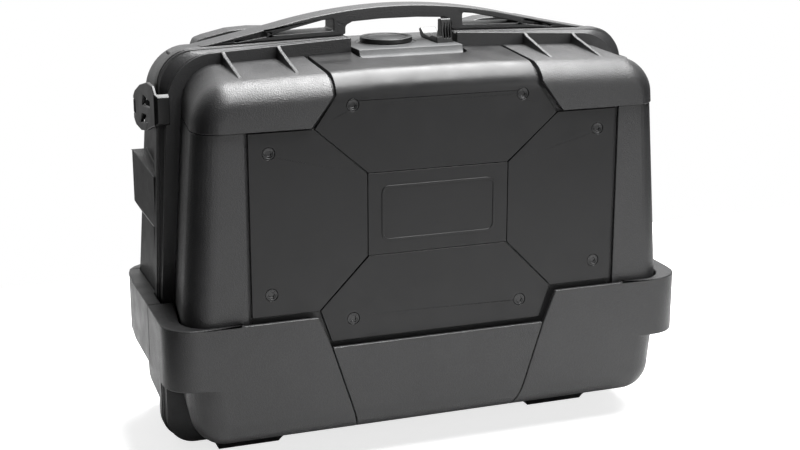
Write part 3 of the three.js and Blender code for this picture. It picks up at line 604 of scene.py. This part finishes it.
def lock_housing():
    slope = [
        (50, 131.9), (64, 132.4), (69.5, 132.8), (72, 135), (74, LOCK_DECK + 0.2), (74, 160), (50, 160),
    ]
    body = cut(
        prism("z", housing_plan(0), RECESS_FLOOR + GAP, LOCK_DECK),
        prism("x", slope, -80, 80),
        prism("z", housing_plan(3), RECESS_FLOOR - 2, 131),
    )
    lugs = [box(span, (115, 125), (119.5, 133)) for span in ((8, 11.6), (28.4, 32))]
    barrel = rod("z", 11.4, RECESS_FLOOR + GAP, 135, LOCK_X, LOCK_Y)
    shell = join(body, barrel, *lugs, box((30, 52.5), (90, 143), (126, 136)))
    seat = cut(
        rod("z", CAP_RADIUS + 4, LOCK_DECK - 0.8, 150, LOCK_X, LOCK_Y, 64),
        rod("z", CAP_RADIUS + 1.5, LOCK_DECK - 2, 151, LOCK_X, LOCK_Y, 64),
        box((-FAR, FAR), (138, 200), (130, 160)),
    )
    return cut(
        shell,
        rod("z", 9.3, RECESS_FLOOR - 2, 150, LOCK_X, LOCK_Y),
        box((32.4, 50.6), (90, 150), (126, 150)),
        rod("x", 1.55, 21, 60, 98, 135, 24),
        rod("x", 1.55, 4, 34, 120, 123, 24),
        box((11, 29), (100, 142), (126, 131.5)),
        rod("z", PIN_RADIUS, 130, 150, PIN_X, PIN_Y, 24),
        seat,
    )


def lock_cap():
    disc = rod("z", CAP_RADIUS, LOCK_DECK + 0.6, LOCK_DECK + 5, LOCK_X, LOCK_Y, 72)
    dish = rod("z", CAP_RADIUS - 4, LOCK_DECK + 4.3, LOCK_DECK + 8, LOCK_X, LOCK_Y, 72)
    raised = rod("z", CAP_RADIUS - 6, LOCK_DECK + 3, LOCK_DECK + 4.8, LOCK_X, LOCK_Y, 72)
    return cut(join(cut(disc, dish), raised), rod("z", PIN_RADIUS, 130, 142.5, PIN_X, PIN_Y, 24))


def release_lever():
    """A low arm behind its pin and an upright ribbed post in front."""
    arm = [
        (94, 132), (104, 131), (128, 134), (140, 140), (144, 146), (141, 148), (132, 143.5),
        (116, 142), (110, 144), (107, 150), (107, 160.5), (99, 161.5), (96.5, 150), (93, 137.5),
    ]
    lever = prism("x", rounded(arm, 2), 34, 50)
    narrow = box((30, 39.5), (90, 112), (144.5, 165))
    ribs = [box((x, x + 1.2), (90, 98.3), (143, 165)) for x in (41.6, 44.4, 47.2)]
    return cut(lever, rod("x", 1.55, 20, 60, 98, 135, 24), narrow, *ribs)


def side_latch():
    outline_points = [
        (87, 78), (87, 103), (99, 113), (120, 113), (150, 106), (172, 97), (183, 89), (187.5, 80),
        (184, 70), (172, 63.5), (150, 62), (128, 66), (100, 75),
    ]
    knuckle = [(LATCH_X + LATCH_KNUCKLE * math.cos(math.radians(a)),
                LATCH_Y + LATCH_KNUCKLE * math.sin(math.radians(a))) for a in range(0, 181, 15)]
    plan = [
        (230, 87.6), (241, 87.6), (244, 91), (LATCH_X + LATCH_KNUCKLE, LATCH_Y - 4), *knuckle,
        (LATCH_X + 2.2, LATCH_Y - 10), (241.3, 118), (240.9, 91.2), (230, 91.2),
    ]
    body = meet(prism("z", plan, 50, 120), prism("x", rounded(outline_points, 6), 200, 300))
    windows = [
        prism("x", rounded([(108, 91), (108, 96.5), (136, 98.6), (141, 88)], 1.5), 200, 300),
        prism("x", rounded([(113.5, 82), (119.4, 75.3), (152, 69.5), (143, 80)], 1.5), 200, 300),
    ]
    room = box((225, 260), (LATCH_Y - LATCH_KNUCKLE - 3, LATCH_Y + LATCH_KNUCKLE + 3), (73.7, 87.3))
    return cut(body, *windows, room, rod("z", 2.55, 50, 110, LATCH_X, LATCH_Y))


# ---- Materials ------------------------------------------------------------------------------

def material(name, colour, roughness, metallic=0.0, grain=900.0, depth=0.00012, strength=0.35,
             speckle=0.0, coat=0.0, specular=0.5):
    """A moulded or plated surface: fine grain in the bump, slow changes in colour and gloss."""
    made = bpy.data.materials.new(name)
    made.use_nodes = True
    tree = made.node_tree
    nodes, links = tree.nodes, tree.links
    shader = nodes["Principled BSDF"]
    where = nodes.new("ShaderNodeTexCoord").outputs["Object"]

    def noise(scale, detail, rough=0.5):
        node = nodes.new("ShaderNodeTexNoise")
        node.inputs["Scale"].default_value = scale
        node.inputs["Detail"].default_value = detail
        node.inputs["Roughness"].default_value = rough
        links.new(where, node.inputs["Vector"])
        return node.outputs["Fac"]

    def ranged(value, low, high, to_low, to_high):
        node = nodes.new("ShaderNodeMapRange")
        node.inputs["From Min"].default_value = low
        node.inputs["From Max"].default_value = high
        node.inputs["To Min"].default_value = to_low
        node.inputs["To Max"].default_value = to_high
        links.new(value, node.inputs["Value"])
        return node.outputs["Result"]

    def mixed(factor, one, other):
        node = nodes.new("ShaderNodeMix")
        node.data_type = "RGBA"
        links.new(factor, node.inputs["Factor"])
        for socket, value in ((node.inputs[6], one), (node.inputs[7], other)):
            if isinstance(value, tuple):
                socket.default_value = (*value, 1)
            else:
                links.new(value, socket)
        return node.outputs[2]

    cells = nodes.new("ShaderNodeTexVoronoi")
    cells.inputs["Scale"].default_value = grain
    links.new(where, cells.inputs["Vector"])
    pebbles = cells.outputs["Distance"]
    slow = ranged(noise(14, 3), 0.35, 0.65, 0, 1)
    darker = tuple(c * 0.86 for c in colour)
    lighter = tuple(min(c * 1.12, 1) for c in colour)
    body = mixed(slow, darker, lighter)
    fleck = ranged(pebbles, 0.1, 0.7, 0, speckle)
    body = mixed(fleck, body, tuple(min(c * 2.2 + 0.03, 1) for c in colour))
    scuffs = ranged(noise(240, 6, 0.75), 0.66, 0.8, 0, 0.35)
    body = mixed(scuffs, body, tuple(min(c * 1.7 + 0.02, 1) for c in colour))
    links.new(body, shader.inputs["Base Color"])
    gloss = ranged(noise(55, 4), 0.3, 0.7, roughness - 0.05, roughness + 0.06)
    links.new(gloss, shader.inputs["Roughness"])
    shader.inputs["Metallic"].default_value = metallic
    shader.inputs["Specular IOR Level"].default_value = specular
    shader.inputs["Coat Weight"].default_value = coat
    shader.inputs["Coat Roughness"].default_value = 0.35
    height = nodes.new("ShaderNodeMath")
    height.operation = "ADD"
    links.new(pebbles, height.inputs[0])
    links.new(noise(grain * 0.6, 4), height.inputs[1])
    bump = nodes.new("ShaderNodeBump")
    bump.inputs["Strength"].default_value = strength
    bump.inputs["Distance"].default_value = depth
    links.new(height.outputs[0], bump.inputs["Height"])
    links.new(bump.outputs["Normal"], shader.inputs["Normal"])
    return made


MATERIALS = {
    "textured_plastic": material("textured_plastic", (0.011, 0.011, 0.0115), 0.40, grain=1000, depth=0.0004,
                                 strength=0.45, speckle=0.2, specular=0.5),
    "panel_plastic": material("panel_plastic", (0.006, 0.006, 0.0063), 0.36, grain=2600, depth=0.00006,
                              strength=0.15, speckle=0.05, specular=0.33),
    "smooth_plastic": material("smooth_plastic", (0.006, 0.006, 0.0062), 0.34, grain=2200, depth=0.0001,
                               strength=0.2, speckle=0.05),
    "deck_plastic": material("deck_plastic", (0.04, 0.041, 0.042), 0.46, grain=1800, depth=0.00015,
                             strength=0.3, speckle=0.1, specular=0.3),
    "rubber": material("rubber", (0.010, 0.010, 0.010), 0.75, grain=1500, depth=0.0002),
    "steel": material("steel", (0.45, 0.46, 0.48), 0.32, metallic=1.0, grain=2400, depth=0.00005),
    "black_steel": material("black_steel", (0.006, 0.006, 0.0065), 0.25, metallic=0.2, grain=2400,
                            depth=0.00005, coat=0.2),
}


# ---- Pieces -----------------------------------------------------------------------------------

SLOTS = {part["node"]: part["material_slot"] for part in frame["record"]["subparts"]}
NODE_BODY = {
    node: body
    for body, nodes in frame["record"]["behaviour"]["bodies"].items()
    for node in nodes
}


def show(shape, node, bevel=0.9, segments=3, painted_shade_side_slot=None):
    """Cleans a shape, rounds its edges and puts it in the place of its CAD node."""
    mesh = shape.data
    clean = bmesh.new()
    clean.from_mesh(mesh)
    bmesh.ops.remove_doubles(clean, verts=clean.verts, dist=0.02)
    bmesh.ops.dissolve_degenerate(clean, edges=clean.edges, dist=0.01)
    bmesh.ops.dissolve_limit(
        clean, angle_limit=math.radians(0.6), verts=clean.verts, edges=clean.edges,
        use_dissolve_boundaries=False,
    )
    bmesh.ops.triangulate(clean, faces=[face for face in clean.faces if len(face.verts) > 4])
    for vertex in clean.verts:
        vertex.co = place(vertex.co)
    for face in clean.faces:
        face.smooth = True
    clean.to_mesh(mesh)
    clean.free()
    mesh.materials.clear()
    mesh.materials.append(MATERIALS[SLOTS[node]])
    # Painted shade: faces that stand upright get the darker second material, so the sides read as shaded
    # under a lighter top.
    if painted_shade_side_slot:
        mesh.materials.append(MATERIALS[painted_shade_side_slot])
        for face in mesh.polygons:
            face.material_index = int(abs(face.normal.z) < 0.7)
    shape.name = f"{node}_moulding"
    if bevel:
        edges = shape.modifiers.new("edges", "BEVEL")
        edges.width = bevel * MM
        edges.segments = segments
        edges.limit_method = "ANGLE"
        edges.angle_limit = math.radians(30)
        edges.use_clamp_overlap = False
        edges.miter_outer = "MITER_ARC"
    normals = shape.modifiers.new("normals", "WEIGHTED_NORMAL")
    normals.keep_sharp = True
    normals.weight = 85
    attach(shape, NODE_BODY[node])
    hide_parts(node)
    return shape


def make_pieces():
    show(cover_shell(), "cover_shell", 0.7)
    show(panel_top(), "panel_top", 0.5)
    show(panel_bottom(), "panel_bottom", 0.5)
    show(badge_plate(), "badge_plate", 0.3)
    show(centre_guard(), "guard_center", 1.4)
    for i, (x, z) in enumerate(SCREW_SPOTS):
        show(panel_screw(x, z), f"panel_screw_{i + 1}", 0.3, 2)
    show(base_shell(), "base_shell", 0.9)
    show(handle(), "handle", 1.0)
    show(lock_housing(), "lock_housing", 0.6)
    # The cap's upright sides are painted dark as shade below its lighter top.
    show(lock_cap(), "lock_cap", 0.6, painted_shade_side_slot="smooth_plastic")
    show(release_lever(), "release_lever", 0.6)
    for name, side in (("left", -1), ("right", 1)):
        show(sided(panel_side(), side), f"panel_{name}", 0.5)
        show(sided(corner_cap(), side), f"corner_cap_{name}", 0.9)
        show(sided(side_guard(), side), f"guard_{name}", 1.4)
        show(hinge_leaf(side), f"hinge_leaf_{name}", 0.8)
        show(sided(side_latch(), side), f"side_latch_{name}", 0.8)
        show(sided(rear_bumper(), side), f"bumper_{name}", 1.0)
    for node, made in frame["nodes"].items():
        made.data.materials.clear()
        made.data.materials.append(MATERIALS[SLOTS[node]])


# ---- Camera and light ---------------------------------------------------------------------

CAMERA_PLACE = (-493.5, -1251.0, 356.2)
CAMERA_PITCH, CAMERA_YAW = 15.477, 19.995
PAPER_TONE, PAPER_GLOW = 0.62, 0.75


def make_camera():
    data = bpy.data.cameras.new("camera")
    data.lens = 67.5
    data.sensor_width = 36
    camera = bpy.data.objects.new("camera", data)
    bpy.context.scene.collection.objects.link(camera)
    camera.location = place(CAMERA_PLACE)
    camera.rotation_euler = (math.radians(90 - CAMERA_PITCH), 0, math.radians(-CAMERA_YAW))
    bpy.context.scene.camera = camera


def area_light(name, location, target, size, power):
    data = bpy.data.lights.new(name, "AREA")
    data.shape = "RECTANGLE"
    data.size, data.size_y = size
    data.energy = power
    lamp = bpy.data.objects.new(name, data)
    bpy.context.scene.collection.objects.link(lamp)
    lamp.location = location
    lamp.rotation_euler = (Vector(target) - Vector(location)).to_track_quat("-Z", "Y").to_euler()


def make_floor():
    """A pale floor that also glows for the camera, so that it reads as white paper."""
    west, east, south, north = -0.45, 0.85, -1.9, 0.55
    mesh = bpy.data.meshes.new("floor")
    corners = [(west, south, 0), (east, south, 0), (east, north, 0), (west, north, 0)]
    mesh.from_pydata(corners, [], [(0, 1, 2, 3)])
    floor = bpy.data.objects.new("floor", mesh)
    bpy.context.scene.collection.objects.link(floor)
    floor.location.z = cad_box[0].z - 0.0005
    paper = bpy.data.materials.new("paper")
    paper.use_nodes = True
    shader = paper.node_tree.nodes["Principled BSDF"]
    shader.inputs["Base Color"].default_value = (PAPER_TONE, PAPER_TONE, PAPER_TONE, 1)
    shader.inputs["Roughness"].default_value = 0.9
    shader.inputs["Emission Color"].default_value = (1, 1, 1, 1)
    paper_nodes, paper_links = paper.node_tree.nodes, paper.node_tree.links
    glow = paper_nodes.new("ShaderNodeMath")
    glow.operation = "MULTIPLY"
    glow.inputs[1].default_value = PAPER_GLOW
    seen = paper_nodes.new("ShaderNodeLightPath").outputs["Is Camera Ray"]
    paper_links.new(seen, glow.inputs[0])
    paper_links.new(glow.outputs[0], shader.inputs["Emission Strength"])
    mesh.materials.append(paper)


def make_studio():
    """Softbox above, fill in front. The surround is white to the camera. To the case it is
    bright behind, faint in front and dark at the sides."""
    world = bpy.data.worlds.new("studio")
    bpy.context.scene.world = world
    world.use_nodes = True
    tree = world.node_tree
    nodes, links = tree.nodes, tree.links
    background = nodes["Background"]
    background.inputs["Color"].default_value = (1, 1, 1, 1)
    split = nodes.new("ShaderNodeSeparateXYZ")
    links.new(nodes.new("ShaderNodeTexCoord").outputs["Generated"], split.inputs["Vector"])

    def ramp(socket, low, high, to_low, to_high):
        node = nodes.new("ShaderNodeMapRange")
        node.interpolation_type = "SMOOTHSTEP"
        values = (("From Min", low), ("From Max", high), ("To Min", to_low), ("To Max", to_high))
        for name, value in values:
            node.inputs[name].default_value = value
        links.new(split.outputs[socket], node.inputs["Value"])
        return node.outputs["Result"]

    def combined(operation, one, other):
        node = nodes.new("ShaderNodeMath")
        node.operation = operation
        links.new(one, node.inputs[0])
        links.new(other, node.inputs[1])
        return node.outputs[0]

    rear = combined("MULTIPLY", ramp("Y", 0.25, 0.95, 0.01, 0.72), ramp("Z", -0.3, 0.3, 0.3, 1.5))
    level = combined("ADD", rear, ramp("Y", -0.98, -0.6, 0.35, 0))
    seen = nodes.new("ShaderNodeMix")
    seen.inputs["B"].default_value = 1.0
    links.new(nodes.new("ShaderNodeLightPath").outputs["Is Camera Ray"], seen.inputs["Factor"])
    links.new(level, seen.inputs["A"])
    links.new(seen.outputs["Result"], background.inputs["Strength"])
    area_light("top_softbox", (0.32, 0.0, 1.5), (0, 0, 0.3), (1.9, 0.9), 105)
    area_light("front_fill", (1.3, -1.9, 0.7), (0.1, 0, 0.2), (0.9, 0.9), 8)
    bpy.context.scene.view_settings.view_transform = "Standard"


make_camera()
make_pieces()
make_floor()
make_studio()
